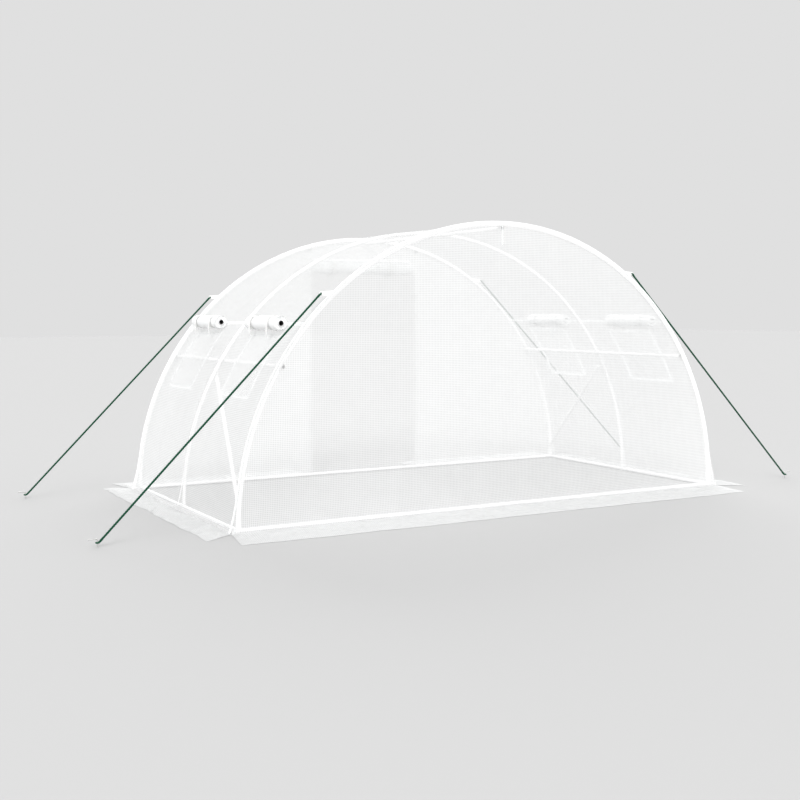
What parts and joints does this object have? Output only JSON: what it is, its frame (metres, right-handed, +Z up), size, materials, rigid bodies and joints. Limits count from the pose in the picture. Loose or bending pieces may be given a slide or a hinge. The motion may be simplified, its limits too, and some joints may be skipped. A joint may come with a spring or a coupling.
{
  "type": "polytunnel greenhouse",
  "caption": "Half-round walk-in growing tunnel: steel tube hoops under a white reinforced film cover, with rolled-up side windows, an open zipped doorway, guy ropes and ground flaps.",
  "frame": {"origin": "middle of the plan, on the ground plane", "axes": "+Z up, +Y along the tunnel toward the end wall with the doorway, +X across the arch"},
  "size_m": [5.8496, 2.8596, 2.0046],
  "materials": {
    "white_tube": "white powder coat on steel tube",
    "film": "translucent white film with a fine woven reinforcing grid",
    "ground_film": "the same film, creased, lying on the ground",
    "rolled_film": "the same film, rolled up in several layers",
    "zip_tape": "white woven tape",
    "net": "fine white netting inside a hemmed border",
    "webbing": "white woven webbing",
    "green_rope": "dark green twisted cord",
    "peg_steel": "bright zinc plated steel rod"
  },
  "bodies": {
    "root": {"base_rail_front": "white_tube", "base_rail_left": "white_tube", "base_rail_rear": "white_tube", "base_rail_right": "white_tube", "brace_left": "white_tube", "brace_right": "white_tube", "corner_fittings": "white_tube", "cover_roof": "film", "cover_side_left": "film", "cover_side_right": "film", "door_roll": "rolled_film", "door_ties": "webbing", "door_zips": "zip_tape", "end_wall_front": "film", "end_wall_rear_left": "film", "end_wall_rear_right": "film", "end_wall_rear_top": "film", "ground_flap_front": "ground_film", "ground_flap_left": "ground_film", "ground_flap_rear": "ground_film", "ground_flap_right": "ground_film", "guy_rope_left_front": "green_rope", "guy_rope_left_rear": "green_rope", "guy_rope_right_front": "green_rope", "guy_rope_right_rear": "green_rope", "hoop_front_left": "white_tube", "hoop_front_right": "white_tube", "hoop_middle_left": "white_tube", "hoop_middle_right": "white_tube", "hoop_rear_left": "white_tube", "hoop_rear_right": "white_tube", "middle_fittings": "white_tube", "pegs_left": "peg_steel", "pegs_right": "peg_steel", "purlin_left": "white_tube", "purlin_ridge": "white_tube", "purlin_right": "white_tube", "rope_tabs_left": "webbing", "rope_tabs_right": "webbing", "saddle_straps_left": "white_tube", "saddle_straps_ridge": "white_tube", "saddle_straps_right": "white_tube", "window_nets_left": "net", "window_nets_right": "net", "window_rolls_left": "rolled_film", "window_rolls_right": "rolled_film", "window_ties_left": "webbing", "window_ties_right": "webbing"}
  },
  "joints": []
}
